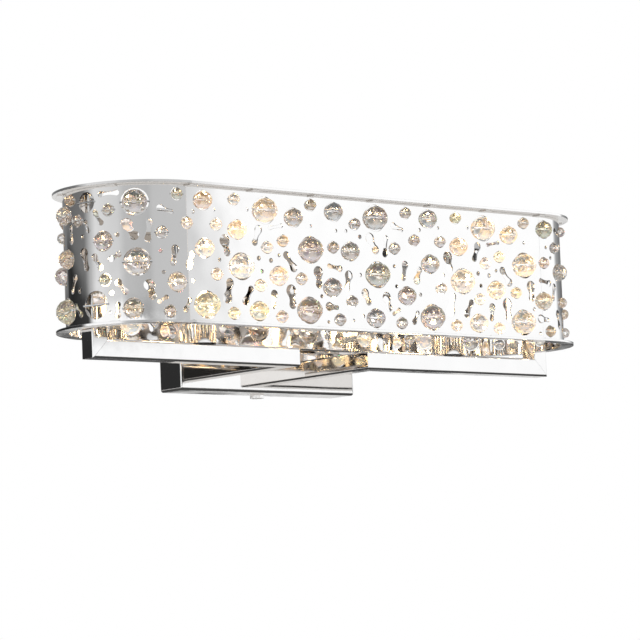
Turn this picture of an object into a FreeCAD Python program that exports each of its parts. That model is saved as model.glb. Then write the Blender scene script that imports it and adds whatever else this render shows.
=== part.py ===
import FreeCAD, Part
import math
import os

# A two-lamp wall light. A rectangular wall pan carries two brackets of square tube.
# Each bracket runs forward, then outward, then up into one end of a long shade with
# round ends. The shade is a perforated chrome band between two flat rims, set with
# faceted crystal beads on pins. Millimetres. The origin is on the wall, at the middle
# of the pan; +X is to the right, -Y is out into the room and +Z is up.

os.makedirs("parts", exist_ok=True)
V = FreeCAD.Vector
UP = V(0, 0, 1)
OUT = V(0, -1, 0)

# ---------------------------------------------------------------- driving dimensions
# Shade
shade_length = 443.0            # over the sheet, left to right
shade_depth = 106.0             # over the sheet, front to back; the ends are half circles
shade_height = 94.0
shade_bottom = -23.5            # height of the sheet's lower edge
wall_to_shade_centre = 92.0
sheet_thickness = 1.2
rim_overhang = 7.0              # rim outside the sheet
rim_lip = 1.2                   # rim inside the sheet
rim_thickness = 1.7
tab_length = 6.0
tab_reach = 4.0
tab_thickness = 0.8
tab_count = 18                  # even places round the band; the one at the seam stays free
tab_pitch_start = -109.1

# Pattern of beads and perforations, which repeats along the band
pattern_period = 209.5
seam_margin = 2.0               # plain strip each side of the joint at the back
bead_diameter = {"large": 18.0, "medium": 13.0, "small": 8.0}
bead_hole_gap = {"large": 0.7, "medium": 0.6, "small": 0.5}
pin_diameter = {"large": 1.4, "medium": 1.2, "small": 1.0}
pin_overlap = 0.6               # length of pin that lies on the sheet at each side of a hole
pin_sheet_gap = 0.03            # solder between a pin and the sheet
pin_bore_gap = 0.1
bead_sides = {"large": 10, "medium": 10, "small": 8}
bead_profile_sides = {"large": 12, "medium": 12, "small": 8}
bead_roll_step = 37.0           # degrees that each bead is turned on from the last
neck_share = 0.55               # width of a perforation's neck against its smaller lobe
lobe_widening = 1.25            # lobes against the radii listed below, where there is room
least_strip = 1.5               # sheet left between a widened lobe and another hole
bead_shift = 1.4                # beads lie this much further along than listed below

# Square tube brackets
tube_size = 13.5
tube_wall = 1.2
tube_corner_radius = 1.5
bar_gap_below_shade = 6.8       # between the lower rim and the bars
arm_spacing = 78.5              # centre to centre
post_end_gap = 3.0              # between a post and the sheet at the shade's end
plug_length = 8.0
plug_gap = 0.1

# Shade straps and their screws
strap_width = 12.0
strap_thickness = 2.0
strap_screw_diameter = 4.0
strap_screw_length = 9.0
strap_screw_head_diameter = 7.0
strap_screw_head_height = 2.2

# Wall pan and the bracket behind it
pan_width = 166.0
pan_height = 114.0
pan_depth = 25.0
pan_wall = 1.2
pan_corner_radius = 2.0
bracket_width = 25.0
bracket_thickness = 2.0
bracket_tab_reach = 20.0
bracket_end_gap = 0.2
wall_slot_spacing = 80.0
wall_slot_width = 4.5
wall_slot_length = 14.0
ground_screw_height = 16.0

# Knurled screws that hold the pan to the bracket
pan_screw_diameter = 4.0
pan_screw_length = 10.0
pan_screw_head_diameter = 10.5
pan_screw_head_height = 3.0
pan_screw_from_wall = 9.5
knurl_count = 30
knurl_depth = 0.35
pan_screw_dish_rim = 1.3        # plain rim round the dished end of a head
pan_screw_dish_depth = 0.35
thread_gap = 0.05
hole_gap = 0.4
nipple_hole_gap = 0.1           # round the nipples, in their holes and washers

# Threaded nipples of the arms, with washers and locknuts
arm_nipple_diameter = 10.0
arm_nipple_bore = 6.4
arm_nipple_reach = 6.5          # behind the pan's front wall
washer_diameter = 17.0
washer_thickness = 1.0
arm_nut_across_flats = 14.0
arm_nut_thickness = 3.0

# Lampholders
lamp_spacing = 238.0            # centre to centre
cup_diameter = 24.0
cup_height = 20.0
cup_wall = 1.0
lamp_nipple_diameter = 9.0
lamp_nipple_bore = 6.4
lamp_nipple_flange_diameter = 10.6
lamp_nipple_flange_thickness = 1.5
lamp_nut_across_flats = 13.0
lamp_nut_thickness = 3.0
lamp_nipple_above_nut = 1.0
socket_diameter = 18.0
socket_height = 20.0
socket_foot_height = 3.0
socket_foot_gap = 0.3
socket_wire_bore = 6.0
socket_wire_bore_depth = 5.0

# Capsule bulbs with two loop contacts
bulb_diameter = 13.0
bulb_length = 44.0
bulb_wall = 1.0
pinch_width = 11.5
pinch_depth = 4.0
pinch_height = 9.0
contact_spacing = 9.0
contact_width = 2.6
contact_thickness = 0.9
contact_length = 7.0
contact_slot_gap = 0.3
filament_diameter = 2.2
filament_length = 15.0
filament_lead_diameter = 0.8
filament_lead_length = 6.0

# Lamp wires and their connectors
wire_diameter = 2.4
wire_tight_bends = 3.0          # bend radius in wire diameters at the ends
wire_corner_bends = 5.0         # and at the corner of the tube
connector_diameter = 12.0
connector_length = 18.0
connector_height = 2.0          # height of the connectors' mouths
connector_wire_depth = 8.0
connector_tip_diameter = 8.0
connector_mouth_gap = 0.1
wire_rise_from_nipple = 2.4     # straight wire between a nipple and its first bend

# One repeat of the pattern: distance along the band from the middle of the front,
# and height above the sheet's lower edge.
bead_layout = {
    "large": [(-100.5, 80.5), (2.5, 81.5), (-59.5, 55.0), (-123.0, 40.0),
              (3.0, 40.5), (-154.5, 12.0), (-62.5, 12.0)],
    "medium": [(-155.5, 84.0), (-74.5, 77.0), (-37.0, 83.5), (-126.0, 65.5),
               (-155.0, 51.0), (-22.5, 56.0), (-89.5, 35.0), (-40.5, 29.0),
               (30.5, 26.5), (-108.5, 9.5), (-0.5, 9.0)],
    "small": [(-128.0, 86.5), (-58.5, 87.0), (-17.5, 76.0), (32.0, 87.0),
              (-144.5, 68.0), (39.5, 67.5), (-99.5, 54.5), (-85.0, 60.0),
              (-38.5, 58.0), (20.0, 60.5), (-145.0, 33.5), (-69.0, 34.0),
              (-106.5, 27.5), (-22.5, 20.0), (-131.0, 7.0), (-88.0, 6.5),
              (-34.5, 6.5), (24.5, 6.5)],
}
# Perforations with two lobes: along, up and radius of each lobe.
lobe_layout = [
    (-136.0, 57.0, 3.5, -134.0, 49.0, 2.2),
    (-105.5, 66.5, 2.6, -109.0, 57.5, 2.0),
    (-95.0, 68.5, 1.2, -84.5, 70.5, 1.2),
    (-2.0, 66.5, 3.2, 3.0, 58.5, 2.6),
    (13.5, 67.5, 1.7, 12.0, 56.0, 2.0),
    (-81.0, 50.0, 2.2, -74.5, 41.5, 2.6),
    (-41.5, 44.5, 1.4, -31.5, 43.0, 1.9),
    (-52.0, 39.5, 3.4, -51.5, 31.0, 2.4),
    (-23.5, 38.5, 2.9, -25.5, 29.5, 2.0),
    (-132.5, 28.0, 2.6, -135.0, 17.5, 3.2),
    (-114.0, 24.5, 1.9, -119.0, 16.0, 2.4),
    (-93.0, 22.0, 2.4, -94.0, 13.5, 1.6),
    (-77.5, 25.0, 3.6, -76.5, 15.5, 2.6),
    (-43.0, 15.5, 2.6, -35.5, 15.0, 1.3),
    (-8.5, 26.5, 2.8, -5.5, 20.5, 2.1),
    (12.0, 24.5, 3.1, 14.0, 17.0, 2.3),
    (18.5, 13.0, 1.3, 23.5, 16.0, 1.3),
    (31.0, 49.0, 2.4, 29.0, 39.5, 1.8),
    (45.0, 46.0, 1.9, 42.0, 38.5, 2.6),
    (41.5, 14.5, 1.4, 38.0, 8.0, 1.8),
    (21.0, 77.0, 2.0, 29.0, 74.5, 1.3),
]
# Round perforations: along, up and radius.
dot_layout = [
    (-57.5, 72.0, 1.2), (-34.0, 70.0, 1.3), (-24.5, 70.5, 1.3), (-11.5, 67.0, 1.6),
    (-106.0, 46.5, 1.7), (-95.0, 45.5, 1.7), (-87.5, 49.5, 1.3), (-141.0, 43.5, 1.4),
    (-103.5, 37.5, 1.5), (-12.5, 39.5, 1.5), (22.0, 33.0, 1.4), (-49.5, 22.5, 1.4),
    (-11.0, 10.0, 1.4), (-44.0, 4.5, 1.2), (-20.5, 6.5, 1.2), (-115.0, 80.0, 1.3),
    (20.5, 47.5, 1.4), (46.5, 75.5, 1.4), (-144.5, 78.0, 1.2), (45.0, 28.0, 1.5),
]

# Features of the round ends alone, at distances along the whole band. They take the place
# of the repeats whose middles fall within these stretches.
own_stretches = [(-304.0, -212.0), (180.0, 226.0)]
end_beads = {
    "large": [(-270.0, 12.0), (-236.0, 13.0)],
    "medium": [(-228.5, 56.0), (-241.7, 84.0), (-269.5, 78.5), (-267.0, 48.0),
               (-284.5, 38.5), (194.5, 52.5)],
    "small": [(-224.0, 77.0), (-251.0, 72.5), (-259.3, 87.6), (-285.0, 65.0),
              (-228.0, 29.5), (-285.4, 16.5), (211.0, 85.5), (187.0, 70.5),
              (199.5, 30.0), (212.5, 22.5), (210.5, 8.0)],
}
end_lobes = [
    (-234.3, 75.9, 2.2, -229.7, 68.9, 2.0),
    (-229.5, 88.4, 2.0, -217.8, 88.4, 2.0),
    (-242.9, 70.4, 1.9, -240.5, 64.4, 1.7),
    (-245.2, 49.5, 3.6, -243.0, 39.0, 2.4),
    (-259.7, 68.6, 2.4, -259.3, 59.8, 2.6),
    (-235.7, 45.7, 2.6, -231.3, 38.4, 2.4),
    (-223.0, 43.3, 2.2, -217.5, 46.0, 2.0),
    (-218.5, 27.0, 2.6, -213.5, 20.5, 2.2),
    (-255.6, 33.7, 2.6, -260.0, 25.5, 2.4),
    (-219.0, 12.0, 1.8, -219.5, 4.8, 2.2),
    (-275.0, 64.0, 2.4, -277.5, 55.5, 2.2),
    (-285.0, 84.0, 2.6, -288.5, 76.0, 2.0),
    (-295.5, 56.0, 3.0, -298.0, 47.5, 2.4),
    (-298.0, 26.0, 2.6, -296.0, 17.0, 3.0),
    (-250.0, 8.0, 2.0, -256.0, 14.5, 1.8),
    (190.0, 84.0, 2.2, 197.5, 82.0, 1.8),
    (196.0, 71.0, 2.6, 203.0, 74.5, 2.0),
    (184.5, 40.5, 2.8, 182.5, 32.0, 2.2),
    (208.5, 60.0, 3.4, 212.5, 51.0, 2.6),
    (206.0, 40.0, 2.4, 213.0, 36.0, 1.8),
    (188.5, 20.5, 3.0, 190.5, 11.5, 2.4),
    (200.0, 17.0, 2.0, 199.0, 8.5, 2.6),
    (220.0, 70.5, 2.2, 221.5, 79.5, 2.8),
    (221.5, 44.0, 2.2, 223.5, 35.5, 2.8),
    (220.5, 16.0, 2.4, 224.5, 8.0, 1.8),
]
end_dots = [
    (-246.0, 60.8, 1.6), (-218.0, 59.5, 1.5), (-250.5, 24.5, 2.0), (-223.5, 20.2, 1.8),
    (-224.4, 7.0, 1.2), (-273.5, 31.0, 1.9), (181.0, 62.5, 1.4), (203.0, 46.0, 1.5),
]

# ---------------------------------------------------------------- derived dimensions
end_radius = shade_depth / 2
inner_radius = end_radius - sheet_thickness
mid_radius = end_radius - sheet_thickness / 2
half_flat = shade_length / 2 - end_radius
end_arc = math.pi * mid_radius
half_band = 2 * half_flat + end_arc
shade_y = -wall_to_shade_centre
shade_top = shade_bottom + shade_height
rim_inner_radius = inner_radius - rim_lip
rim_outer_radius = end_radius + rim_overhang
tab_pitch = 2 * half_band / tab_count
punch_stroke = 4 * sheet_thickness
most_repeats = math.ceil(half_band / pattern_period) + 1

half_tube = tube_size / 2
tube_bore = tube_size - 2 * tube_wall
bar_top = shade_bottom - rim_thickness - bar_gap_below_shade
bar_z = bar_top - half_tube
arm_x = arm_spacing / 2
arm_end_y = -pan_depth
post_bow = inner_radius - math.sqrt(inner_radius ** 2 - half_tube ** 2)
post_face_radius = inner_radius - post_bow - post_end_gap
post_x = half_flat + post_face_radius - half_tube
strap_bottom = shade_top - strap_thickness
lamp_x = lamp_spacing / 2

cup_floor_top = bar_top + cup_wall
lamp_nut_top = cup_floor_top + lamp_nut_thickness
socket_bottom = lamp_nut_top + lamp_nipple_above_nut
socket_top = socket_bottom + socket_height
bracket_half_height = pan_height / 2 - pan_wall - bracket_end_gap
inner_front_y = -pan_depth + pan_wall
nipple_end_y = inner_front_y + arm_nipple_reach
wire_tight_radius = wire_tight_bends * wire_diameter
wire_wide_radius = wire_corner_bends * wire_diameter
wire_rise_y = nipple_end_y + wire_rise_from_nipple + wire_tight_radius


# ---------------------------------------------------------------- small helpers
def save(name, solids):
    """Write one node: a single solid, or several separate ones as a group."""
    shape = solids[0] if len(solids) == 1 else Part.Compound(solids)
    shape.exportStep("parts/" + name + ".step")


def box(x0, x1, y0, y1, z0, z1):
    return Part.makeBox(x1 - x0, y1 - y0, z1 - z0, V(x0, y0, z0))


def centred_box(width, depth, height, x, y, z):
    """Box centred on x and y, standing on z."""
    return Part.makeBox(width, depth, height, V(x - width / 2, y - depth / 2, z))


def rod(diameter, length, base, direction=UP):
    return Part.makeCylinder(diameter / 2, length, base, direction)


def regular_prism(sides, across_flats, length, base, direction=UP):
    """Hexagonal nut blank and the like."""
    corner_radius = across_flats / 2 / math.cos(math.pi / sides)
    corners = []
    for step in range(sides + 1):
        angle = 2 * math.pi * step / sides
        corners.append(V(corner_radius * math.cos(angle), corner_radius * math.sin(angle), 0))
    prism = Part.Face(Part.makePolygon(corners)).extrude(V(0, 0, length))
    turn = FreeCAD.Rotation(UP, direction)
    prism.Placement = FreeCAD.Placement(base, turn)
    return prism


def mirrored(solid):
    """The left-hand twin of a right-hand piece."""
    return solid.mirror(V(0, 0, 0), V(1, 0, 0))


def stadium(radius, z):
    """Closed outline round the shade at a given end radius."""
    left = V(-half_flat, shade_y, z)
    right = V(half_flat, shade_y, z)
    near = V(0, -radius, 0)
    side = V(radius, 0, 0)
    return Part.Wire([
        Part.LineSegment(left + near, right + near).toShape(),
        Part.Arc(right + near, right + side, right - near).toShape(),
        Part.LineSegment(right - near, left - near).toShape(),
        Part.Arc(left - near, left - side, left + near).toShape(),
    ])


# ---------------------------------------------------------------- shade band
def band_point(along):
    """Point on the middle of the sheet's thickness, at a distance along the band."""
    side = 1 if along >= 0 else -1
    distance = abs(along)
    if distance <= half_flat:
        x, y = distance, -mid_radius
    elif distance <= half_flat + end_arc:
        angle = (distance - half_flat) / mid_radius
        x = half_flat + mid_radius * math.sin(angle)
        y = -mid_radius * math.cos(angle)
    else:
        x, y = 2 * half_flat + end_arc - distance, mid_radius
    return V(side * x, shade_y + y, 0)


def seat(along, up, reach):
    """Middle, tangent and outward normal of a feature that spans the band by reach."""
    first = band_point(along - reach)
    last = band_point(along + reach)
    middle = (first + last) / 2 + V(0, 0, shade_bottom + up)
    tangent = (last - first).normalize()
    return middle, tangent, tangent.cross(UP), (last - first).Length / 2


def hole_radius(size):
    return bead_diameter[size] / 2 + bead_hole_gap[size]


def repeats(first, last):
    """Starts of the repeats that put a feature wholly on the band, outside the ends' own."""
    limit = half_band - seam_margin
    shifts = []
    for count in range(-most_repeats, most_repeats + 1):
        shift = count * pattern_period
        middle = (first + last) / 2 + shift
        if first + shift < -limit or last + shift > limit:
            continue
        if any(low < middle < high for low, high in own_stretches):
            continue
        shifts.append(shift)
    return shifts


def bead_places(size):
    """Every bead hole of one size: along the whole band, and up."""
    radius = hole_radius(size)
    places = list(end_beads[size])
    for listed, up in bead_layout[size]:
        along = listed + bead_shift
        for shift in repeats(along - radius, along + radius):
            places.append((along + shift, up))
    return places


def dot_places():
    places = list(end_dots)
    for along, up, radius in dot_layout:
        for shift in repeats(along - radius, along + radius):
            places.append((along + shift, up, radius))
    return places


def round_holes():
    """Bead holes and dots of the whole band: along, up and radius."""
    circles = dot_places()
    for size in bead_layout:
        circles += [(along, up, hole_radius(size)) for along, up in bead_places(size)]
    return circles


def lobe_copies(lobe):
    """One lobed perforation at each of its places along the whole band."""
    along_1, up_1, radius_1, along_2, up_2, radius_2 = lobe
    low = min(along_1 - radius_1, along_2 - radius_2)
    high = max(along_1 + radius_1, along_2 + radius_2)
    return [(along_1 + shift, up_1, radius_1, along_2 + shift, up_2, radius_2)
            for shift in repeats(low, high)]


def spare_width(lobe, others):
    """How much the narrowest strip beside one lobe exceeds the least strip."""
    along, up, radius = lobe
    strips = [math.hypot(along - other_along, up - other_up) - radius - other_radius
              for other_along, other_up, other_radius in others]
    return min(strips + [up - radius, shade_height - up - radius]) - least_strip


def widened(lobe, circles):
    """One perforation, each lobe widened as far as the strips beside it allow.

    Two lobes that face each other share the room between them.
    """
    rivals = list(end_lobes)
    for other in lobe_layout:
        if other is not lobe:
            rivals += lobe_copies(other)
    rivals = [rival[:3] for rival in rivals] + [rival[3:] for rival in rivals]
    wide = list(lobe)
    for first in (0, 3):
        growth = lobe[first + 2] * (lobe_widening - 1)
        for copy in lobe_copies(lobe):
            place = copy[first:first + 3]
            growth = min(growth, spare_width(place, circles), spare_width(place, rivals) / 2)
        wide[first + 2] += max(growth, 0)
    return tuple(wide)


def lobe_places():
    circles = round_holes()
    places = list(end_lobes)
    for lobe in lobe_layout:
        places += lobe_copies(widened(lobe, circles))
    return places


def circle_wire(centre, normal, radius):
    return Part.Wire([Part.Circle(centre, normal, radius).toShape()])


def lobed_wire(middle, tangent, normal, first, first_radius, second, second_radius):
    """Two round lobes joined by a waisted neck, drawn in the plane of the sheet."""
    def place(point):
        return middle + tangent * point[0] + UP * point[1]

    apart = math.hypot(second[0] - first[0], second[1] - first[1])
    axis = ((second[0] - first[0]) / apart, (second[1] - first[1]) / apart)
    smaller = min(first_radius, second_radius)
    neck = neck_share * smaller
    waist = (apart ** 2 / 4 + neck ** 2 - smaller ** 2) / (2 * (smaller - neck))
    waist = max(waist, smaller / 2)
    from_first = first_radius + waist
    from_second = second_radius + waist
    along = (apart ** 2 + from_first ** 2 - from_second ** 2) / (2 * apart)
    across = math.sqrt(from_first ** 2 - along ** 2)

    def waist_arc(side):
        centre = (first[0] + axis[0] * along - side * axis[1] * across,
                  first[1] + axis[1] * along + side * axis[0] * across)
        start = tuple(first[i] + (centre[i] - first[i]) * first_radius / from_first for i in (0, 1))
        end = tuple(second[i] + (centre[i] - second[i]) * second_radius / from_second for i in (0, 1))
        pull = (start[0] + end[0] - 2 * centre[0], start[1] + end[1] - 2 * centre[1])
        size = math.hypot(*pull)
        belly = tuple(centre[i] + pull[i] / size * waist for i in (0, 1))
        return start, belly, end

    left = waist_arc(1)
    right = waist_arc(-1)
    first_cap = (first[0] - axis[0] * first_radius, first[1] - axis[1] * first_radius)
    second_cap = (second[0] + axis[0] * second_radius, second[1] + axis[1] * second_radius)
    return Part.Wire([
        Part.Arc(place(left[0]), place(left[1]), place(left[2])).toShape(),
        Part.Arc(place(left[2]), place(second_cap), place(right[2])).toShape(),
        Part.Arc(place(right[2]), place(right[1]), place(right[0])).toShape(),
        Part.Arc(place(right[0]), place(first_cap), place(left[0])).toShape(),
    ])


def perforations():
    """Every hole of the band: its outline, its normal and how far it reaches along."""
    holes = []
    for size in bead_layout:
        radius = hole_radius(size)
        for along, up in bead_places(size):
            middle, _, normal, reach = seat(along, up, radius)
            holes.append((circle_wire(middle, normal, reach), normal, along - radius, along + radius))
    for along, up, radius in dot_places():
        middle, _, normal, _ = seat(along, up, radius)
        holes.append((circle_wire(middle, normal, radius), normal, along - radius, along + radius))
    for along_1, up_1, radius_1, along_2, up_2, radius_2 in lobe_places():
        low = min(along_1 - radius_1, along_2 - radius_2)
        high = max(along_1 + radius_1, along_2 + radius_2)
        centre = (low + high) / 2
        centre_up = (up_1 + up_2) / 2
        middle, tangent, normal, _ = seat(centre, centre_up, (high - low) / 2)
        outline = lobed_wire(middle, tangent, normal,
                             (along_1 - centre, up_1 - centre_up), radius_1,
                             (along_2 - centre, up_2 - centre_up), radius_2)
        holes.append((outline, normal, low, high))
    return holes


def hole_tool(outline, normal):
    """Punch through the sheet at one hole."""
    start = outline.translated(normal * (-punch_stroke / 2))
    return Part.Face(start).extrude(normal * punch_stroke)


def flat_panel(holes, back):
    """Flat side of the band: holes inside it are drawn, those on its ends are punched."""
    drawn = []
    crossing = []
    for outline, normal, low, high in holes:
        nearest = min(abs(low), abs(high))
        farthest = max(abs(low), abs(high))
        if back:
            nearest, farthest = half_band - farthest, half_band - nearest
        if farthest < half_flat - sheet_thickness:
            drawn.append(outline)
        elif nearest < half_flat:
            crossing.append(hole_tool(outline, normal))
    side = 1 if back else -1
    mid_y = shade_y + side * mid_radius
    corners = [V(-half_flat, mid_y, shade_bottom), V(half_flat, mid_y, shade_bottom),
               V(half_flat, mid_y, shade_top), V(-half_flat, mid_y, shade_top),
               V(-half_flat, mid_y, shade_bottom)]
    face = Part.Face([Part.makePolygon(corners)] + drawn)
    face.validate()
    sheet = face.translated(V(0, -sheet_thickness / 2, 0)).extrude(V(0, sheet_thickness, 0))
    return sheet.cut(crossing) if crossing else sheet


def round_end(holes, side):
    """Half-round end of the band on one side, +1 right and -1 left."""
    centre = V(side * half_flat, shade_y, shade_bottom)
    ring = Part.makeCylinder(end_radius, shade_height, centre)
    ring = ring.cut(Part.makeCylinder(inner_radius, shade_height, centre))
    far = centre.x + side * 2 * end_radius
    half_space = box(min(centre.x, far), max(centre.x, far), shade_y - 2 * end_radius,
                     shade_y + 2 * end_radius, shade_bottom, shade_top)
    shell = ring.common(half_space)
    tools = []
    for outline, normal, low, high in holes:
        nearest = min(side * low, side * high)
        farthest = max(side * low, side * high)
        if farthest > half_flat and nearest < half_flat + end_arc:
            tools.append(hole_tool(outline, normal))
    return shell.cut(tools)


def rim(z):
    """Flat plate ring round an edge of the sheet, standing on z."""
    face = Part.Face([stadium(rim_outer_radius, z), stadium(rim_inner_radius, z)])
    face.validate()
    return face.extrude(V(0, 0, rim_thickness))


def rim_tabs(z):
    """Short tabs that tie the sheet to a rim, set on the outside of the band."""
    tabs = []
    for count in range(-tab_count, tab_count + 1):
        along = tab_pitch_start + count * tab_pitch
        if abs(along) > half_band - 2 * tab_length:
            continue
        ahead = band_point(along + sheet_thickness)
        behind = band_point(along - sheet_thickness)
        tangent = (ahead - behind).normalize()
        normal = tangent.cross(UP)
        inner = band_point(along) + normal * (sheet_thickness / 2) - tangent * (tab_length / 2)
        inner.z = z
        corners = [inner, inner + tangent * tab_length,
                   inner + tangent * tab_length + normal * tab_reach,
                   inner + normal * tab_reach, inner]
        tabs.append(Part.Face(Part.makePolygon(corners)).extrude(V(0, 0, tab_thickness)))
    return tabs


# ---------------------------------------------------------------- crystal beads
def faceted_bead(size):
    """Round bead cut in flat facets about its bore, which lies along X."""
    radius = bead_diameter[size] / 2
    sides = bead_sides[size]
    profile = bead_profile_sides[size]
    step = 360.0 / profile
    rings = []
    for count in range(profile // 2):
        latitude = math.radians(-90 + step / 2 + count * step)
        ring = []
        for corner in range(sides):
            angle = 2 * math.pi * corner / sides
            ring.append(V(radius * math.sin(latitude),
                          radius * math.cos(latitude) * math.cos(angle),
                          radius * math.cos(latitude) * math.sin(angle)))
        rings.append(ring)
    faces = [Part.Face(Part.makePolygon(rings[0] + rings[0][:1])),
             Part.Face(Part.makePolygon(rings[-1] + rings[-1][:1]))]
    for lower, upper in zip(rings, rings[1:]):
        for corner in range(sides):
            after = (corner + 1) % sides
            outline = [lower[corner], lower[after], upper[after], upper[corner], lower[corner]]
            faces.append(Part.Face(Part.makePolygon(outline)))
    bead = Part.makeSolid(Part.makeShell(faces))
    bore = rod(pin_diameter[size] + 2 * pin_bore_gap, 4 * radius, V(-2 * radius, 0, 0), V(1, 0, 0))
    return bead.cut(bore)


def straight_pin(size):
    """Pin along X that lies across a hole, with its ends on the sheet."""
    reach = hole_radius(size) + pin_overlap
    return rod(pin_diameter[size], 2 * reach, V(-reach, 0, 0), V(1, 0, 0))


def bead_room(size, along):
    """Whether a bead clears the bracket's post, which stands just inside each round end."""
    from_post = abs(abs(along) - half_flat - end_arc / 2)
    radius = bead_diameter[size] / 2
    inner_reach = mid_radius + bead_stand_off(size) - radius
    return inner_reach > post_face_radius or from_post > half_tube + radius


def bead_stand_off(size):
    """From the middle of the sheet out to a bead's centre and its pin."""
    return sheet_thickness / 2 + pin_sheet_gap + pin_diameter[size] / 2


def beads_and_pins(size):
    """All the beads of one size with their pins; where a post is in the way, the pin alone."""
    radius = hole_radius(size)
    bead_blank = faceted_bead(size)
    pin_blank = straight_pin(size)
    beads = []
    pins = []
    for along, up in bead_places(size):
        middle, tangent, normal, _ = seat(along, up, radius)
        centre = middle + normal * bead_stand_off(size)
        facing = FreeCAD.Rotation(V(1, 0, 0), tangent)
        pin = pin_blank.copy()
        pin.Placement = FreeCAD.Placement(centre, facing)
        pins.append(pin)
        if not bead_room(size, along):
            continue
        rolled = FreeCAD.Rotation(V(1, 0, 0), bead_roll_step * len(beads))
        bead = bead_blank.copy()
        bead.Placement = FreeCAD.Placement(centre, facing.multiply(rolled))
        beads.append(bead)
    return beads, pins


# ---------------------------------------------------------------- brackets of tube
def rounded_square(size, radius):
    """Square outline with round corners, in the plane across X."""
    half = size / 2
    flat = half - radius
    middle = flat + radius * math.sqrt(0.5)
    edges = []
    for quarter in range(4):
        angle = quarter * math.pi / 2
        turn = FreeCAD.Rotation(V(1, 0, 0), math.degrees(angle))
        edges.append(Part.LineSegment(turn.multVec(V(0, half, -flat)),
                                      turn.multVec(V(0, half, flat))).toShape())
        edges.append(Part.Arc(turn.multVec(V(0, half, flat)), turn.multVec(V(0, middle, middle)),
                              turn.multVec(V(0, flat, half))).toShape())
    return Part.Wire(edges)


def square_tube(start, direction, length):
    """Square tube whose axis starts at a point and runs in a direction."""
    outer = Part.Face(rounded_square(tube_size, tube_corner_radius)).extrude(V(length, 0, 0))
    inner = Part.Face(rounded_square(tube_bore, tube_corner_radius - tube_wall))
    tube = outer.cut(inner.extrude(V(length, 0, 0)))
    tube.Placement = FreeCAD.Placement(start, FreeCAD.Rotation(V(1, 0, 0), direction))
    return tube


def mitre(tube, corner, keep, drop):
    """Cut a tube at 45 degrees through a corner, keeping the side that it runs to."""
    normal = (drop - keep).normalize()
    reach = 4 * tube_size
    cutter = Part.makeBox(2 * reach, 2 * reach, reach, V(-reach, -reach, 0))
    cutter.Placement = FreeCAD.Placement(corner, FreeCAD.Rotation(UP, normal))
    return tube.cut(cutter)


def right_bracket():
    """Arm, bar and post of the right-hand bracket, mitred where they meet."""
    arm_corner = V(arm_x, shade_y, bar_z)
    post_corner = V(post_x, shade_y, bar_z)
    to_wall = V(0, 1, 0)
    to_right = V(1, 0, 0)

    arm = square_tube(arm_corner - to_wall * tube_size, to_wall,
                      arm_end_y - shade_y + tube_size)
    arm = mitre(arm, arm_corner, to_wall, to_right)
    bar = square_tube(arm_corner - to_right * tube_size, to_right,
                      post_x - arm_x + 2 * tube_size)
    bar = mitre(bar, arm_corner, to_right, to_wall)
    bar = mitre(bar, post_corner, to_right * -1, UP)
    lamp_hole = rod(lamp_nipple_diameter + 2 * nipple_hole_gap, tube_size, V(lamp_x, shade_y, bar_z))
    bar = bar.cut(lamp_hole)
    post = square_tube(post_corner - UP * tube_size, UP, strap_bottom - bar_z + tube_size)
    post = mitre(post, post_corner, UP, to_right * -1)
    return arm, bar, post


def right_post_plug():
    """Tapped block that closes the top of a post."""
    side = tube_bore - 2 * plug_gap
    plug = centred_box(side, side, plug_length, post_x, shade_y, strap_bottom - plug_length)
    tapped = rod(strap_screw_diameter + 2 * thread_gap, plug_length,
                 V(post_x, shade_y, strap_bottom - plug_length))
    return plug.cut(tapped)


def right_strap():
    """Strap across the shade's end, welded in under the upper rim."""
    inside = Part.Face(stadium(inner_radius, strap_bottom)).extrude(V(0, 0, strap_thickness))
    strap = centred_box(strap_width, shade_depth, strap_thickness, post_x, shade_y, strap_bottom)
    hole = rod(strap_screw_diameter + hole_gap, strap_thickness, V(post_x, shade_y, strap_bottom))
    return strap.common(inside).cut(hole)


def right_strap_screw():
    shank = rod(strap_screw_diameter, strap_screw_length,
                V(post_x, shade_y, shade_top - strap_screw_length))
    head = rod(strap_screw_head_diameter, strap_screw_head_height, V(post_x, shade_y, shade_top))
    slot = centred_box(strap_screw_head_diameter, strap_screw_head_height / 2,
                       strap_screw_head_height / 2, post_x, shade_y,
                       shade_top + strap_screw_head_height / 2)
    return head.fuse(shank).cut(slot).removeSplitter()


# ---------------------------------------------------------------- wall pan and bracket
def wall_pan():
    """Open-backed pan, with holes for the arms' nipples and for the knurled screws."""
    half_w = pan_width / 2
    half_h = pan_height / 2
    outer = box(-half_w, half_w, -pan_depth, 0, -half_h, half_h)
    soft_edges = []
    for edge in outer.Edges:
        if edge.BoundBox.YMax < -pan_depth / 4 or edge.BoundBox.YLength > pan_depth / 2:
            soft_edges.append(edge)
    outer = outer.makeFillet(pan_corner_radius, soft_edges)
    inner = box(-half_w + pan_wall, half_w - pan_wall, inner_front_y, 0,
                -half_h + pan_wall, half_h - pan_wall)
    tools = [inner]
    for side in (1, -1):
        tools.append(rod(arm_nipple_diameter + 2 * nipple_hole_gap, 2 * pan_wall,
                         V(side * arm_x, inner_front_y + pan_wall / 2, bar_z), OUT))
    for side in (1, -1):
        tools.append(rod(pan_screw_diameter + hole_gap, 2 * pan_wall,
                         V(0, -pan_screw_from_wall, side * half_h - pan_wall)))
    return outer.cut(tools)


def wall_slot(z):
    """Upright slot for a wall screw, centred on z."""
    half_run = (wall_slot_length - wall_slot_width) / 2
    middle = box(-wall_slot_width / 2, wall_slot_width / 2, -bracket_thickness, 0,
                 z - half_run, z + half_run)
    upper = rod(wall_slot_width, bracket_thickness, V(0, 0, z + half_run), OUT)
    lower = rod(wall_slot_width, bracket_thickness, V(0, 0, z - half_run), OUT)
    return middle.fuse([upper, lower])


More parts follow.
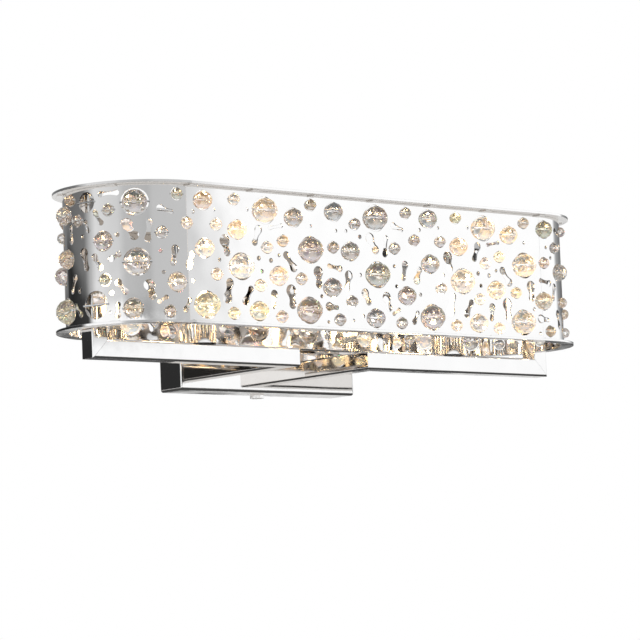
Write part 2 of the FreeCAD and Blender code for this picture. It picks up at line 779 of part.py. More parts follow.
def wall_bracket():
    """Upright strap on the wall, with its ends bent forward and tapped for the screws."""
    half_w = bracket_width / 2
    top = bracket_half_height
    strap = box(-half_w, half_w, -bracket_thickness, 0, -top, top)
    upper_tab = box(-half_w, half_w, -bracket_tab_reach, 0, top - bracket_thickness, top)
    lower_tab = box(-half_w, half_w, -bracket_tab_reach, 0, -top, -top + bracket_thickness)
    body = strap.fuse([upper_tab, lower_tab]).removeSplitter()
    tools = [wall_slot(wall_slot_spacing / 2), wall_slot(-wall_slot_spacing / 2)]
    tapped = pan_screw_diameter + 2 * thread_gap
    tools.append(rod(tapped, 2 * top, V(0, -pan_screw_from_wall, -top)))
    tools.append(rod(pan_screw_diameter + 2 * thread_gap, bracket_thickness,
                     V(0, 0, ground_screw_height), OUT))
    return body.cut(tools)


def ground_screw():
    """Screw for the earth wire, on the front of the bracket."""
    head_base = V(0, -bracket_thickness, ground_screw_height)
    shank = rod(pan_screw_diameter, bracket_thickness, V(0, 0, ground_screw_height), OUT)
    head = regular_prism(6, strap_screw_head_diameter, strap_screw_head_height, head_base, OUT)
    return head.fuse(shank)


def pan_screw(side):
    """Knurled screw through the top (+1) or bottom (-1) of the pan."""
    outer = pan_screw_head_diameter / 2
    corners = []
    for step in range(2 * knurl_count):
        radius = outer - knurl_depth * (step % 2)
        angle = math.pi * step / knurl_count
        corners.append(V(radius * math.cos(angle), radius * math.sin(angle), 0))
    direction = UP * side
    seat_point = V(0, -pan_screw_from_wall, side * pan_height / 2)
    head = Part.Face(Part.makePolygon(corners + corners[:1])).extrude(V(0, 0, pan_screw_head_height))
    dish = rod(pan_screw_head_diameter - 2 * pan_screw_dish_rim, pan_screw_dish_depth,
               V(0, 0, pan_screw_head_height - pan_screw_dish_depth))
    head = head.cut(dish)
    head.Placement = FreeCAD.Placement(seat_point, FreeCAD.Rotation(UP, direction))
    shank = rod(pan_screw_diameter, pan_screw_length, seat_point, direction * -1)
    return head.fuse(shank)


def right_arm_nipple():
    """Block brazed into the arm's end, with a threaded hollow stub through the pan."""
    side = tube_bore - 2 * plug_gap
    block = box(arm_x - side / 2, arm_x + side / 2, arm_end_y - plug_length, arm_end_y,
                bar_z - side / 2, bar_z + side / 2)
    stub_length = nipple_end_y - arm_end_y
    stub = rod(arm_nipple_diameter, stub_length, V(arm_x, nipple_end_y, bar_z), OUT)
    bore = rod(arm_nipple_bore, stub_length + plug_length, V(arm_x, nipple_end_y, bar_z), OUT)
    return block.fuse(stub).cut(bore)


def right_arm_washer():
    back = V(arm_x, inner_front_y + washer_thickness, bar_z)
    disc = rod(washer_diameter, washer_thickness, back, OUT)
    return disc.cut(rod(arm_nipple_diameter + 2 * nipple_hole_gap, washer_thickness, back, OUT))


def right_arm_nut():
    back = V(arm_x, inner_front_y + washer_thickness + arm_nut_thickness, bar_z)
    nut = regular_prism(6, arm_nut_across_flats, arm_nut_thickness, back, OUT)
    return nut.cut(rod(arm_nipple_diameter + 2 * thread_gap, arm_nut_thickness, back, OUT))


# ---------------------------------------------------------------- lampholders and bulbs
def lamp_axis(z):
    return V(lamp_x, shade_y, z)


def socket_cup():
    cup = rod(cup_diameter, cup_height, lamp_axis(bar_top))
    hollow = rod(cup_diameter - 2 * cup_wall, cup_height, lamp_axis(cup_floor_top))
    hole = rod(lamp_nipple_diameter + 2 * nipple_hole_gap, cup_height, lamp_axis(bar_top))
    return cup.cut([hollow, hole])


def lamp_nipple():
    """Hollow stud, flanged inside the bar, up through the cup's floor and its nut."""
    under_wall = bar_top - tube_wall
    flange = rod(lamp_nipple_flange_diameter, lamp_nipple_flange_thickness,
                 lamp_axis(under_wall - lamp_nipple_flange_thickness))
    stud = rod(lamp_nipple_diameter, socket_bottom - under_wall, lamp_axis(under_wall))
    bore = rod(lamp_nipple_bore, 2 * cup_height, lamp_axis(under_wall - cup_height))
    return flange.fuse(stud).cut(bore)


def lamp_nut():
    nut = regular_prism(6, lamp_nut_across_flats, lamp_nut_thickness, lamp_axis(cup_floor_top))
    return nut.cut(rod(lamp_nipple_diameter + 2 * thread_gap, lamp_nut_thickness,
                       lamp_axis(cup_floor_top)))


def contact_places():
    return (lamp_x - contact_spacing / 2, lamp_x + contact_spacing / 2)


def socket():
    """Ceramic lampholder with two slots for the bulb's contacts."""
    body = rod(socket_diameter, socket_height, lamp_axis(socket_bottom))
    foot = rod(cup_diameter - 2 * cup_wall - 2 * socket_foot_gap, socket_foot_height,
               lamp_axis(socket_bottom))
    tools = [rod(socket_wire_bore, socket_wire_bore_depth, lamp_axis(socket_bottom))]
    slot_depth = contact_length + contact_slot_gap
    for x in contact_places():
        tools.append(centred_box(contact_width + 2 * contact_slot_gap,
                                 contact_thickness + 2 * contact_slot_gap,
                                 slot_depth, x, shade_y, socket_top - slot_depth))
    return body.fuse(foot).removeSplitter().cut(tools)


def bulb_glass():
    """Capsule with a flat pinch below and a sealing tip on top."""
    radius = bulb_diameter / 2
    dome_z = socket_top + bulb_length - radius
    barrel_z = socket_top + pinch_height - bulb_wall
    barrel = rod(bulb_diameter, dome_z - barrel_z, lamp_axis(barrel_z))
    dome = Part.makeSphere(radius, lamp_axis(dome_z), UP, 0, 90, 360)
    pinch = centred_box(pinch_width, pinch_depth, pinch_height, lamp_x, shade_y, socket_top)
    tip = Part.makeCone(bulb_wall, bulb_wall / 2, 2 * bulb_wall,
                        lamp_axis(socket_top + bulb_length - bulb_wall / 2))
    outer = barrel.fuse([dome, pinch, tip])
    inner_z = socket_top + pinch_height
    cavity = rod(bulb_diameter - 2 * bulb_wall, dome_z - inner_z, lamp_axis(inner_z))
    cap = Part.makeSphere(radius - bulb_wall, lamp_axis(dome_z), UP, 0, 90, 360)
    return outer.cut(cavity.fuse(cap))


def bulb_contacts():
    contacts = []
    for x in contact_places():
        contacts.append(centred_box(contact_width, contact_thickness, contact_length,
                                    x, shade_y, socket_top - contact_length))
    return contacts


def bulb_filament():
    base = socket_top + pinch_height
    lead = rod(filament_lead_diameter, filament_lead_length, lamp_axis(base))
    coil = rod(filament_diameter, filament_length, lamp_axis(base + filament_lead_length))
    return lead.fuse(coil)


# ---------------------------------------------------------------- wiring
def lamp_wire():
    """Wire from its connector in the pan, through arm and bar, up to the lampholder."""
    start = V(arm_x, wire_rise_y, connector_height + connector_wire_depth)
    turns = [(V(arm_x, wire_rise_y, bar_z), wire_tight_radius),
             (V(arm_x, shade_y, bar_z), wire_wide_radius),
             (V(lamp_x, shade_y, bar_z), wire_tight_radius)]
    end = lamp_axis(socket_bottom + socket_wire_bore_depth)
    corners = [point for point, _ in turns] + [end]
    edges = []
    here = start
    for (corner, radius), after in zip(turns, corners[1:]):
        before = (here - corner).normalize()
        beyond = (after - corner).normalize()
        arc_start = corner + before * radius
        arc_end = corner + beyond * radius
        middle = corner + (before + beyond) * (radius * (1 - math.sqrt(0.5)))
        edges.append(Part.LineSegment(here, arc_start).toShape())
        edges.append(Part.Arc(arc_start, middle, arc_end).toShape())
        here = arc_end
    edges.append(Part.LineSegment(here, end).toShape())
    path = Part.Wire(edges)
    section = circle_wire(start, UP, wire_diameter / 2)
    return path.makePipeShell([section], True, False)


def wire_connector():
    """Twist-on connector over the end of a wire."""
    base = V(arm_x, wire_rise_y, connector_height)
    cone = Part.makeCone(connector_diameter / 2, connector_tip_diameter / 2, connector_length, base)
    mouth = rod(wire_diameter + 2 * connector_mouth_gap, connector_wire_depth, base)
    return cone.cut(mouth)


# ---------------------------------------------------------------- the whole light
def save_pair(stem, right_solids):
    """Write a right-hand piece and its left-hand twin as two nodes."""
    save("right_" + stem, right_solids)
    save("left_" + stem, [mirrored(solid) for solid in right_solids])


def save_both(name, right_solid):
    """Write a right-hand piece and its twin as one node of two solids."""
    save(name, [right_solid, mirrored(right_solid)])


def build_shade():
    holes = perforations()
    save("shade_front_panel", [flat_panel(holes, back=False)])
    save("shade_back_panel", [flat_panel(holes, back=True)])
    save("shade_right_end", [round_end(holes, 1)])
    save("shade_left_end", [round_end(holes, -1)])
    save("upper_rim", [rim(shade_top)])
    save("lower_rim", [rim(shade_bottom - rim_thickness)])
    save("upper_rim_tabs", rim_tabs(shade_top - tab_thickness))
    save("lower_rim_tabs", rim_tabs(shade_bottom))
    for size in bead_layout:
        beads, pins = beads_and_pins(size)
        save(size + "_beads", beads)
        save(size + "_bead_pins", pins)


def build_brackets():
    arm, bar, post = right_bracket()
    save_pair("arm", [arm])
    save_pair("bar", [bar])
    save_pair("post", [post])
    save_pair("shade_strap", [right_strap()])
    save_both("post_plugs", right_post_plug())
    save_both("strap_screws", right_strap_screw())


def build_wall_end():
    save("wall_pan", [wall_pan()])
    save("wall_bracket", [wall_bracket()])
    save("ground_screw", [ground_screw()])
    save("upper_pan_screw", [pan_screw(1)])
    save("lower_pan_screw", [pan_screw(-1)])
    save_both("arm_nipples", right_arm_nipple())
    save_both("arm_washers", right_arm_washer())
    save_both("arm_nuts", right_arm_nut())
    save_pair("lamp_wire", [lamp_wire()])
    save_both("wire_connectors", wire_connector())


def build_lamps():
    save_pair("socket_cup", [socket_cup()])
    save_pair("socket", [socket()])
    save_both("socket_nipples", lamp_nipple())
    save_both("socket_nuts", lamp_nut())
    save_pair("bulb_glass", [bulb_glass()])
    save_pair("bulb_contacts", bulb_contacts())
    save_pair("bulb_filament", [bulb_filament()])


build_shade()
build_brackets()
build_wall_end()
build_lamps()
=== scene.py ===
import math
import random

import bmesh
import bpy
import numpy as np
from mathutils import Matrix, Vector


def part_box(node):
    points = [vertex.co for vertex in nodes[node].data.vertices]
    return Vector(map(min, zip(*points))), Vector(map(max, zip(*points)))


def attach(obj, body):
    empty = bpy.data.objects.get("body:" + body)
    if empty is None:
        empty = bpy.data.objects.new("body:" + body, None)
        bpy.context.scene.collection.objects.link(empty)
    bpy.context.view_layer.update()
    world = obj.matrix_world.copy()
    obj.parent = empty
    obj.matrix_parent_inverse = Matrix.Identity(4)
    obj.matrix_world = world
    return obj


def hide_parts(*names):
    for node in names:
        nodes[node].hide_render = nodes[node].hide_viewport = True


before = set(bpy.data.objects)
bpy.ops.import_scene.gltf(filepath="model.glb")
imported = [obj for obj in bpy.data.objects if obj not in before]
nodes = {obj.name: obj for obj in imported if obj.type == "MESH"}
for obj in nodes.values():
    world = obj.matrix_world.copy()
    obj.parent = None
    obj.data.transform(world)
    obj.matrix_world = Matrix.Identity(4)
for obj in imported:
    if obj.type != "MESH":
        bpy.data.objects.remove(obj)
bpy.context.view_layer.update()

MM = 0.001
rng = random.Random(7)

# ---------------------------------------------------------------- node helpers


class Graph:
    """A material's or world's node tree, with short calls to add and join nodes."""

    def __init__(self, owner):
        owner.use_nodes = True
        self.tree = owner.node_tree
        self.tree.nodes.clear()

    def add(self, kind, **settings):
        node = self.tree.nodes.new(kind)
        for key, value in settings.items():
            setattr(node, key, value)
        return node

    def join(self, source, target):
        self.tree.links.new(source, target)
        return target

    def feed(self, socket, value):
        """Put a number, a colour or another node's output on a socket."""
        if isinstance(value, bpy.types.NodeSocket):
            self.tree.links.new(value, socket)
        else:
            socket.default_value = value

    def math(self, operation, *values):
        node = self.add("ShaderNodeMath", operation=operation)
        for socket, value in zip(node.inputs, values):
            self.feed(socket, value)
        return node.outputs[0]

    def spread(self, value, low, high, to_low=0.0, to_high=1.0):
        """Map a range of a value to another range, held at both ends."""
        node = self.add("ShaderNodeMapRange", clamp=True)
        for socket, part in zip(node.inputs, (value, low, high, to_low, to_high)):
            self.feed(socket, part)
        return node.outputs[0]

    def noise(self, scale, detail=2.0, rough=0.5, stretch=None):
        """Cloudy noise in the object's own place, drawn out along its axes by stretch."""
        vector = self.add("ShaderNodeTexCoord").outputs["Object"]
        if stretch:
            mapping = self.add("ShaderNodeMapping")
            mapping.inputs["Scale"].default_value = stretch
            self.feed(mapping.inputs["Vector"], vector)
            vector = mapping.outputs[0]
        node = self.add("ShaderNodeTexNoise")
        self.feed(node.inputs["Vector"], vector)
        node.inputs["Scale"].default_value = scale
        node.inputs["Detail"].default_value = detail
        node.inputs["Roughness"].default_value = rough
        return node.outputs[0]

    def ramp(self, value, stops, interpolation="LINEAR"):
        """Colour ramp from (position, colour) pairs; a colour may be one grey value."""
        node = self.add("ShaderNodeValToRGB")
        node.color_ramp.interpolation = interpolation
        elements = node.color_ramp.elements
        while len(elements) < len(stops):
            elements.new(1.0)
        for element, (position, colour) in zip(elements, stops):
            element.position = position
            if not hasattr(colour, "__len__"):
                colour = (colour, colour, colour)
            element.color = (*colour, 1.0)
        self.feed(node.inputs[0], value)
        return node.outputs[0]

    def mix(self, share, first, second, blend="MIX"):
        node = self.add("ShaderNodeMix", data_type="RGBA", blend_type=blend)
        self.feed(node.inputs["Factor"], share)
        for name, value in (("A", first), ("B", second)):
            socket = [s for s in node.inputs if s.name == name and s.type == "RGBA"][0]
            if isinstance(value, tuple):
                value = (*value, 1.0)
            self.feed(socket, value)
        return [s for s in node.outputs if s.type == "RGBA"][0]

    def distance(self, place, point):
        node = self.add("ShaderNodeVectorMath", operation="DISTANCE")
        self.feed(node.inputs[0], place)
        self.feed(node.inputs[1], point)
        return node.outputs["Value"]

    def bump(self, height, distance, normal=None):
        node = self.add("ShaderNodeBump")
        node.inputs["Distance"].default_value = distance
        self.feed(node.inputs["Height"], height)
        if normal is not None:
            self.feed(node.inputs["Normal"], normal)
        return node.outputs[0]


def principled(name, **sockets):
    """A material with one Principled shader; sockets are given by name."""
    material = bpy.data.materials.new(name)
    graph = Graph(material)
    shader = graph.add("ShaderNodeBsdfPrincipled")
    output = graph.add("ShaderNodeOutputMaterial")
    graph.join(shader.outputs[0], output.inputs["Surface"])
    for key, value in sockets.items():
        shader.inputs[key.replace("_", " ")].default_value = value
    return material, graph, shader


# ---------------------------------------------------------------- materials
def polished_metal(name, colour, wave=(18.0, 0.0), smudge=(0.02, 0.06), edge=0.3):
    """Mirror-polished plate: faint waves of the sheet, soft smudges and eased edges."""
    material, graph, shader = principled(name, Metallic=1.0)
    cloud = graph.noise(55.0, 3.0)
    tint = graph.mix(graph.spread(cloud, 0.3, 0.7), colour, tuple(0.97 * c for c in colour))
    graph.feed(shader.inputs["Base Color"], tint)
    film = graph.noise(130.0, 4.0, 0.6)
    graph.feed(shader.inputs["Roughness"], graph.spread(film, 0.35, 0.75, *smudge))
    eased = graph.add("ShaderNodeBevel", samples=4)
    eased.inputs["Radius"].default_value = edge * MM
    normal = eased.outputs[0]
    if wave[1]:
        normal = graph.bump(graph.noise(wave[0], 1.0), wave[1] * MM, normal)
    graph.feed(shader.inputs["Normal"], normal)
    return material


def cut_crystal(name):
    """Clear lead crystal: each bead has its own faint tint and a thin iridescent coat, and beads near a
    lamp carry a painted warm glow.
    """
    material, graph, shader = principled(name, Roughness=0.0, IOR=1.56)
    shader.inputs["Transmission Weight"].default_value = 1.0
    shader.inputs["Thin Film IOR"].default_value = 1.36
    island = graph.add("ShaderNodeNewGeometry").outputs["Random Per Island"]
    graph.feed(shader.inputs["Thin Film Thickness"], graph.spread(island, 0.0, 1.0, 340.0, 560.0))
    clear = (0.95, 0.93, 0.91)
    champagne = (0.95, 0.83, 0.66)
    rose = (0.95, 0.85, 0.82)
    lime = (0.94, 0.91, 0.68)
    smoke = (0.84, 0.82, 0.82)
    tint = graph.ramp(island, [(0.0, clear), (0.2, smoke), (0.38, clear), (0.55, champagne),
                               (0.72, rose), (0.85, clear), (1.0, lime)])
    streak = graph.noise(160.0, 1.0)
    graph.feed(shader.inputs["Base Color"],
               graph.mix(graph.spread(streak, 0.45, 0.7), tint, clear))
    # painted lamp light: beads near a lamp emit the lamp's warm colour in patches, though a bead is no
    # lamp
    place = graph.add("ShaderNodeNewGeometry").outputs["Position"]
    from_lamp = graph.math("MINIMUM", *[graph.distance(place, lamp) for lamp in lamp_middles])
    painted_glow_share = graph.spread(from_lamp, PAINTED_GLOW_REACH[0], PAINTED_GLOW_REACH[1], 1.0, 0.0)
    painted_glow_patch = graph.spread(graph.noise(210.0, 1.0), 0.48, 0.62)
    graph.feed(shader.inputs["Emission Color"], graph.mix(painted_glow_patch, tint, PAINTED_GLOW_COLOUR))
    # painted glow strength: strongest within reach of a lamp, and a faint painted glow on every bead
    graph.feed(shader.inputs["Emission Strength"],
               graph.math("MULTIPLY_ADD", painted_glow_share, graph.spread(painted_glow_patch, 0.0, 1.0, 0.10, 0.75), 0.05))
    return material


def lit_glass(name):
    """Clear capsule of a bulb, filled with the filament's light."""
    material, graph, shader = principled(name, Roughness=0.02, IOR=1.47)
    shader.inputs["Transmission Weight"].default_value = 1.0
    height = graph.add("ShaderNodeTexCoord").outputs["Generated"]
    split = graph.add("ShaderNodeSeparateXYZ")
    graph.feed(split.inputs[0], height)
    glow = graph.ramp(split.outputs["Z"], [(0.0, (0.25, 0.16, 0.07)), (0.22, (0.7, 0.48, 0.22)),
                                           (0.45, (1.0, 0.80, 0.50)), (0.7, (1.0, 0.80, 0.50)),
                                           (1.0, (0.55, 0.40, 0.20))], "EASE")
    graph.feed(shader.inputs["Emission Color"], glow)
    shader.inputs["Emission Strength"].default_value = 5.0
    haze = graph.noise(90.0, 2.0)
    graph.feed(shader.inputs["Base Color"],
               graph.mix(haze, (1.0, 0.985, 0.95), (1.0, 0.96, 0.90)))
    return material


def glowing(name, colour, strength):
    material, graph, shader = principled(name, Roughness=0.4)
    shader.inputs["Emission Strength"].default_value = strength
    coil = graph.noise(900.0, 1.0)
    graph.feed(shader.inputs["Emission Color"],
               graph.mix(coil, colour, tuple(min(1.0, 1.15 * c) for c in colour)))
    shader.inputs["Base Color"].default_value = (*colour, 1.0)
    return material


def worked_metal(name, colour, roughness, grain):
    """Turned, pressed or plated metal inside the light: fine grain and dull patches."""
    material, graph, shader = principled(name, Metallic=1.0)
    cloud = graph.noise(140.0, 4.0)
    graph.feed(shader.inputs["Base Color"],
               graph.mix(graph.spread(cloud, 0.3, 0.7), colour, tuple(0.72 * c for c in colour)))
    lines = graph.noise(600.0, 2.0, 0.5, grain)
    graph.feed(shader.inputs["Roughness"],
               graph.spread(lines, 0.3, 0.7, 0.75 * roughness, 1.25 * roughness))
    graph.feed(shader.inputs["Normal"], graph.bump(lines, 0.03 * MM))
    return material


def coated(name, colour, roughness, speck=0.9, coat=0.0):
    """Glaze, paint, sleeve or moulded plastic, with faint mottling and a skin."""
    material, graph, shader = principled(name)
    shader.inputs["Coat Weight"].default_value = coat
    shader.inputs["Coat Roughness"].default_value = 0.06
    cloud = graph.noise(220.0, 5.0, 0.6)
    graph.feed(shader.inputs["Base Color"],
               graph.mix(graph.spread(cloud, 0.35, 0.75), colour, tuple(speck * c for c in colour)))
    skin = graph.noise(900.0, 3.0)
    graph.feed(shader.inputs["Roughness"],
               graph.spread(skin, 0.3, 0.7, 0.85 * roughness, 1.15 * roughness))
    graph.feed(shader.inputs["Normal"], graph.bump(skin, 0.02 * MM))
    return material


CHROME = (0.83, 0.805, 0.78)
PAINTED_GLOW_COLOUR = (1.0, 0.62, 0.24)
PAINTED_GLOW_REACH = (0.045, 0.085)        # metres from a lamp: full painted glow, and none
lamp_middles = [sum(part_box(side + "_bulb_glass"), Vector()) / 2 for side in ("left", "right")]
chrome_sheet = polished_metal("chrome_sheet", CHROME, (30.0, 0.11))
chrome_rim = polished_metal("chrome_rim", CHROME, (22.0, 0.04), edge=0.25)
chrome_tube = polished_metal("chrome_tube", CHROME, (14.0, 0.10))
chrome_pan = polished_metal("chrome_pan", CHROME, (12.0, 0.25), edge=0.5)
chrome_small = polished_metal("chrome_small", CHROME, edge=0.2)
bright_wire = polished_metal("bright_wire", (0.96, 0.96, 0.96), smudge=(0.02, 0.07), edge=0.1)
crystal = cut_crystal("cut_crystal")
bulb_glass = lit_glass("lit_bulb_glass")
filament_glow = glowing("filament_glow", (1.0, 0.70, 0.36), 16.0)
zinc = worked_metal("zinc_plate", (0.62, 0.63, 0.65), 0.32, (1.0, 1.0, 6.0))
brass = worked_metal("turned_brass", (0.80, 0.62, 0.30), 0.26, (1.0, 8.0, 1.0))
contact_metal = worked_metal("contact_metal", (0.72, 0.70, 0.66), 0.22, (1.0, 1.0, 8.0))
ceramic = coated("glazed_ceramic", (0.90, 0.89, 0.85), 0.24, 0.95, 0.6)
green_paint = coated("green_paint", (0.05, 0.30, 0.10), 0.35, 0.8, 0.3)
wire_sleeve = coated("wire_sleeve", (0.86, 0.86, 0.82), 0.45)
connector = coated("connector_plastic", (0.72, 0.24, 0.04), 0.36, 0.85, 0.2)

finishes = {
    chrome_sheet: ("shade_front_panel", "shade_back_panel", "shade_left_end", "shade_right_end"),
    chrome_rim: ("upper_rim", "lower_rim", "upper_rim_tabs", "lower_rim_tabs",
                 "left_shade_strap", "right_shade_strap"),
    chrome_tube: ("left_arm", "right_arm", "left_bar", "right_bar", "left_post", "right_post"),
    chrome_pan: ("wall_pan",),
    chrome_small: ("upper_pan_screw", "lower_pan_screw", "left_socket_cup", "right_socket_cup"),
    bright_wire: ("large_bead_pins", "medium_bead_pins", "small_bead_pins"),
    crystal: ("large_beads", "medium_beads", "small_beads"),
    bulb_glass: ("left_bulb_glass", "right_bulb_glass"),
    zinc: ("post_plugs", "strap_screws", "wall_bracket", "arm_washers"),
    brass: ("arm_nipples", "arm_nuts", "socket_nipples", "socket_nuts"),
    contact_metal: ("left_bulb_contacts", "right_bulb_contacts"),
    filament_glow: ("left_bulb_filament", "right_bulb_filament"),
    ceramic: ("left_socket", "right_socket"),
    green_paint: ("ground_screw",),
    wire_sleeve: ("left_lamp_wire", "right_lamp_wire"),
    connector: ("wire_connectors",),
}
for material, names in finishes.items():
    for name in names:
        mesh = nodes[name].data
        mesh.materials.clear()
        mesh.materials.append(material)


# ---------------------------------------------------------------- cut crystal beads
def islands(obj):
    """Vertex positions of each separate solid of a mesh."""
    mesh = obj.data
    points = np.zeros(len(mesh.vertices) * 3)
    mesh.vertices.foreach_get("co", points)
    points = points.reshape(-1, 3)
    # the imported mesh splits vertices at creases, so places that agree to a micron count as one
    micron = 1e-6
    _, place = np.unique(np.round(points / micron).astype(np.int64), axis=0, return_inverse=True)
    place = place.ravel()
    parent = list(range(place.max() + 1))

    def root(item):
        while parent[item] != item:
            parent[item] = parent[parent[item]]
            item = parent[item]
        return item

    for edge in mesh.edges:
        a, b = root(place[edge.vertices[0]]), root(place[edge.vertices[1]])
        if a != b:
            parent[a] = b
    groups = {}
    for index, item in enumerate(place):
        groups.setdefault(root(item), []).append(index)
    return [np.unique(np.round(points[group], 7), axis=0) for group in groups.values()]


# rings of corners from pole to pole, as shares of the pole's latitude
RINGS = (-1.0, -0.62, -0.3, 0.0, 0.3, 0.62, 1.0)


def cut_bead(radius, bore, sides, roll):
    """Closed faceted bead about X, with a bore; each ring's corners lie between the next ring's."""
    mesh = bmesh.new()
    flat_radius = 2.0 * bore          # flat round each mouth of the bore
    pole = math.pi / 2 - math.asin(flat_radius / radius)
    rings = []
    for row, share in enumerate(RINGS):
        angle = share * pole
        ring = []
        for corner in range(sides):
            turn = roll + math.tau * (corner + 0.5 * (row % 2)) / sides
            ring.append(mesh.verts.new((radius * math.sin(angle),
                                        radius * math.cos(angle) * math.cos(turn),
                                        radius * math.cos(angle) * math.sin(turn))))
        rings.append(ring)
    for row, (lower, upper) in enumerate(zip(rings, rings[1:])):
        for corner in range(sides):
            after = (corner + 1) % sides
            if row % 2:
                mesh.faces.new((lower[corner], upper[after], upper[corner]))
                mesh.faces.new((lower[corner], lower[after], upper[after]))
            else:
                mesh.faces.new((lower[corner], lower[after], upper[corner]))
                mesh.faces.new((lower[after], upper[after], upper[corner]))
    holes = []
    for ring in (rings[0], rings[-1]):
        hole = []
        for vertex in ring:
            turn = math.atan2(vertex.co.z, vertex.co.y)
            hole.append(mesh.verts.new((vertex.co.x, bore * math.cos(turn), bore * math.sin(turn))))
        holes.append(hole)
        for corner in range(sides):
            after = (corner + 1) % sides
            mesh.faces.new((ring[corner], ring[after], hole[after], hole[corner]))
    for corner in range(sides):
        after = (corner + 1) % sides
        mesh.faces.new((holes[0][corner], holes[0][after], holes[1][after], holes[1][corner]))
    bmesh.ops.recalc_face_normals(mesh, faces=mesh.faces)
    return mesh


# radius, bore and sides; the large beads set the light's depth, so they keep to their belt's radius
bead_cuts = {
    "large": (8.69, 0.8, 14),
    "medium": (6.5, 0.7, 12),
    "small": (4.0, 0.6, 10),
}
for size, (radius, bore, sides) in bead_cuts.items():
    pins = []
    for points in islands(nodes[size + "_bead_pins"]):
        middle = (points.max(0) + points.min(0)) / 2
        spread = points - points.mean(0)
        axis = np.linalg.svd(spread, full_matrices=False)[2][0]
        pins.append((middle, axis))
    whole = bmesh.new()
    for points in islands(nodes[size + "_beads"]):
        centre = points.mean(0)
        axis = min(pins, key=lambda pin: np.linalg.norm(pin[0] - centre))[1]
        bead = cut_bead(radius * MM, bore * MM, sides, rng.uniform(0, math.tau))
        along = Vector(axis)
        turn = Vector((1, 0, 0)).rotation_difference(along).to_matrix().to_4x4()
        bead.transform(Matrix.Translation(Vector(centre)) @ turn)
        part = bpy.data.meshes.new("part")
        bead.to_mesh(part)
        bead.free()
        whole.from_mesh(part)
        bpy.data.meshes.remove(part)
    mesh = bpy.data.meshes.new(size + "_crystals")
    whole.to_mesh(mesh)
    whole.free()
    mesh.materials.append(crystal)
    piece = bpy.data.objects.new(size + "_crystals", mesh)
    bpy.context.scene.collection.objects.link(piece)
    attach(piece, "fixture")
    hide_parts(size + "_beads")

# ---------------------------------------------------------------- coiled filaments
coil_radius = 0.95 * MM
wire_radius = 0.16 * MM
lead_length = 6.0 * MM             # straight wire under the coil
coil_top_gap = 0.4 * MM
turns = 15
steps = 14                         # points in each turn
for side in ("left", "right"):
    low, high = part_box(side + "_bulb_filament")
    middle = (low + high) / 2
    bottom = low.z + lead_length
    top = high.z - coil_top_gap
    points = [Vector((middle.x, middle.y, low.z))]
    for step in range(turns * steps + 1):
        angle = math.tau * step / steps
        height = bottom + (top - bottom) * step / (turns * steps)
        points.append(Vector((middle.x + coil_radius * math.cos(angle),
                              middle.y + coil_radius * math.sin(angle), height)))
    curve = bpy.data.curves.new(side + "_filament_coil", "CURVE")
    curve.dimensions = "3D"
    curve.bevel_depth = wire_radius
    curve.bevel_resolution = 2
    spline = curve.splines.new("POLY")
    spline.points.add(len(points) - 1)
    for target, point in zip(spline.points, points):
        target.co = (*point, 1.0)
    curve.materials.append(filament_glow)
    coil = bpy.data.objects.new(side + "_filament_coil", curve)
    bpy.context.scene.collection.objects.link(coil)
    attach(coil, side + "_bulb")
    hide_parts(side + "_bulb_filament")

# ---------------------------------------------------------------- floor and cards
FLOOR_HEIGHT = -0.62
CARD_HEIGHT = -0.60
FAR_CARD_HEADING = math.radians(39.6)   # from the wall's normal toward the right
FAR_CARD_DISTANCE = 5.55


def stage_plane(name, width, depth, location, material, turn=0.0):
    """Level sheet of the stage, turned about its upright axis."""
    mesh = bpy.data.meshes.new(name)
    x, y = width / 2, depth / 2
    mesh.from_pydata([(-x, -y, 0), (x, -y, 0), (x, y, 0), (-x, y, 0)], [], [(0, 1, 2, 3)])
    mesh.materials.append(material)
    obj = bpy.data.objects.new(name, mesh)
    obj.location = location
    obj.rotation_euler.z = turn
    bpy.context.scene.collection.objects.link(obj)
    return obj


floor_paint = coated("floor_paint", (0.93, 0.93, 0.925), 0.7, 0.99)
stage_plane("floor", 16.0, 16.0, (0, 0, FLOOR_HEIGHT), floor_paint)
card_paint = coated("card_paint", (0.06, 0.06, 0.06), 0.8, 0.9)
# dark cards on the floor, which only the metal and the crystal see
far_place = (FAR_CARD_DISTANCE * math.sin(FAR_CARD_HEADING),
             FAR_CARD_DISTANCE * math.cos(FAR_CARD_HEADING), CARD_HEIGHT)
for card in (stage_plane("under_card", 5.2, 5.2, (0.1, -0.1, CARD_HEIGHT), card_paint),
             stage_plane("far_card", 5.0, 1.0, far_place, card_paint, -FAR_CARD_HEADING)):
    card.visible_camera = False
    card.visible_diffuse = False
    card.visible_shadow = False

# ---------------------------------------------------------------- studio surround
# Heights are the sine of the elevation; each pair is where one band ends and the next is full.
BARS_TO_LOWER = (0.1040, 0.1062)
LOWER_TO_UPPER = (0.112, 0.122)
UPPER_TO_ZENITH = (0.40, 0.62)
FOOT_HEADINGS = (300 / 360, 352 / 360)
FOOT_RISE = 0.018
ZENITH = (0.48, 0.48, 0.49)
DIFFUSE_LIGHT = (0.88, 0.88, 0.88)
WHITE = (1.0, 1.0, 1.0)

world = bpy.data.worlds.new("studio")
bpy.context.scene.world = world
graph = Graph(world)
direction = graph.add("ShaderNodeSeparateXYZ")
graph.feed(direction.inputs[0], graph.add("ShaderNodeTexCoord").outputs["Generated"])
x, y, z = direction.outputs
# heading clockwise from the wall's normal, as a share of a turn
heading = graph.math("FRACT", graph.math("ADD", 1.0, graph.math(
    "DIVIDE", graph.math("ARCTAN2", x, y), math.tau)))


def degrees(*stops):
    """Ramp stops from (heading in degrees, level) pairs."""
    return [(angle / 360, grey) for angle, grey in stops]


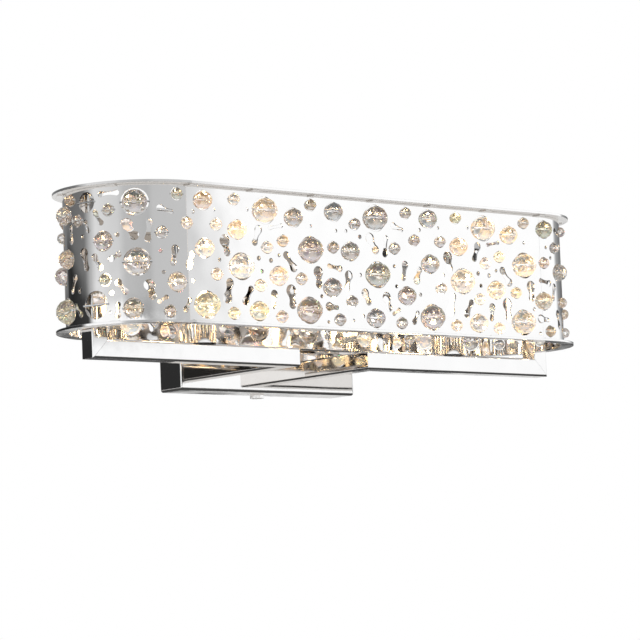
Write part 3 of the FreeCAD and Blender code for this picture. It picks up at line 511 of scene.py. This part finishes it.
upper = graph.ramp(heading, degrees(
    (0, 0.16), (20, 0.20), (34, (0.42, 0.38, 0.34)), (48, (0.42, 0.38, 0.34)), (56, 0.16),
    (72, 0.20), (88, 0.34), (97, 1.0), (141.1, 1.0), (141.6, 0.55), (196, 0.53), (204, 0.46), (240, 0.50),
    (250, 0.62), (288, 0.70), (303, 0.34), (310, 0.17), (345, 0.13), (360, 0.16)))
lower = graph.ramp(heading, degrees(
    (0, 0.04), (22, 0.06), (34, (0.34, 0.30, 0.26)), (48, (0.34, 0.30, 0.26)), (58, 0.10),
    (72, 0.16), (86, 0.30), (95, 1.0), (140.6, 1.0), (141.6, 0.55), (196, 0.50), (206, 0.36), (238, 0.40),
    (248, 0.95), (296, 1.0), (303, 0.20), (306, 0.04), (345, 0.02), (360, 0.04)))
bars = graph.ramp(heading, degrees(
    (0, 0.04), (22, 0.06), (30, 0.9), (52, 0.9), (58, 0.12), (72, 0.35), (90, 0.98), (290, 0.98),
    (300, 0.20), (306, 0.03), (345, 0.02), (360, 0.04)))
low_band = graph.mix(graph.spread(z, *BARS_TO_LOWER), bars, lower)
# toward the wall on the left the dark foot of the surround stands higher
raised = graph.math("SUBTRACT", z, graph.spread(heading, *FOOT_HEADINGS, 0.0, FOOT_RISE))
band = graph.mix(graph.spread(raised, *LOWER_TO_UPPER), low_band, upper)
sky = graph.mix(graph.spread(z, *UPPER_TO_ZENITH), band, ZENITH)
# divided by the plating's own colour, so that one reflection shows these levels
surround = graph.mix(1.0, sky, CHROME, "DIVIDE")
path = graph.add("ShaderNodeLightPath")
seen = graph.mix(path.outputs["Is Diffuse Ray"], surround, DIFFUSE_LIGHT)
seen = graph.mix(path.outputs["Is Camera Ray"], seen, WHITE)
background = graph.add("ShaderNodeBackground")
graph.feed(background.inputs["Color"], seen)
graph.join(background.outputs[0], graph.add("ShaderNodeOutputWorld").inputs["Surface"])


def softbox(name, location, target, size, power):
    """Square soft light, not seen in the metal or through the glass."""
    light = bpy.data.lights.new(name, "AREA")
    light.shape = "SQUARE"
    light.size = size
    light.energy = power
    lamp = bpy.data.objects.new(name, light)
    lamp.location = location
    aim = Vector(target) - Vector(location)
    lamp.rotation_euler = aim.to_track_quat("-Z", "Y").to_euler()
    bpy.context.scene.collection.objects.link(lamp)
    lamp.visible_glossy = False
    lamp.visible_transmission = False


softbox("key_light", (1.2, -2.2, 1.8), (0, -0.1, 0), 1.4, 9.0)
softbox("fill_light", (-2.0, -1.4, 0.8), (0, -0.1, 0), 1.6, 4.0)

# ---------------------------------------------------------------- camera
camera_place = (-1.4836, -1.8020, -0.2580)
yaw, pitch, roll = 0.7125, 0.1092, -0.0397   # radians
focal_px, image_px = 3131.3, 640
sensor_mm = 36.0
ahead = Vector((math.sin(yaw) * math.cos(pitch), math.cos(yaw) * math.cos(pitch), math.sin(pitch)))
level = Vector((math.cos(yaw), -math.sin(yaw), 0.0))
above = level.cross(ahead)
right = math.cos(roll) * level + math.sin(roll) * above
top = -math.sin(roll) * level + math.cos(roll) * above
camera_data = bpy.data.cameras.new("camera")
camera_data.sensor_width = sensor_mm
camera_data.lens = sensor_mm * focal_px / image_px
camera_data.clip_start, camera_data.clip_end = 0.05, 50.0
camera = bpy.data.objects.new("camera", camera_data)
turned = Matrix((right, top, -ahead)).transposed().to_4x4()
camera.matrix_world = Matrix.Translation(camera_place) @ turned
bpy.context.scene.collection.objects.link(camera)
bpy.context.scene.camera = camera

bpy.context.scene.view_settings.view_transform = "Standard"
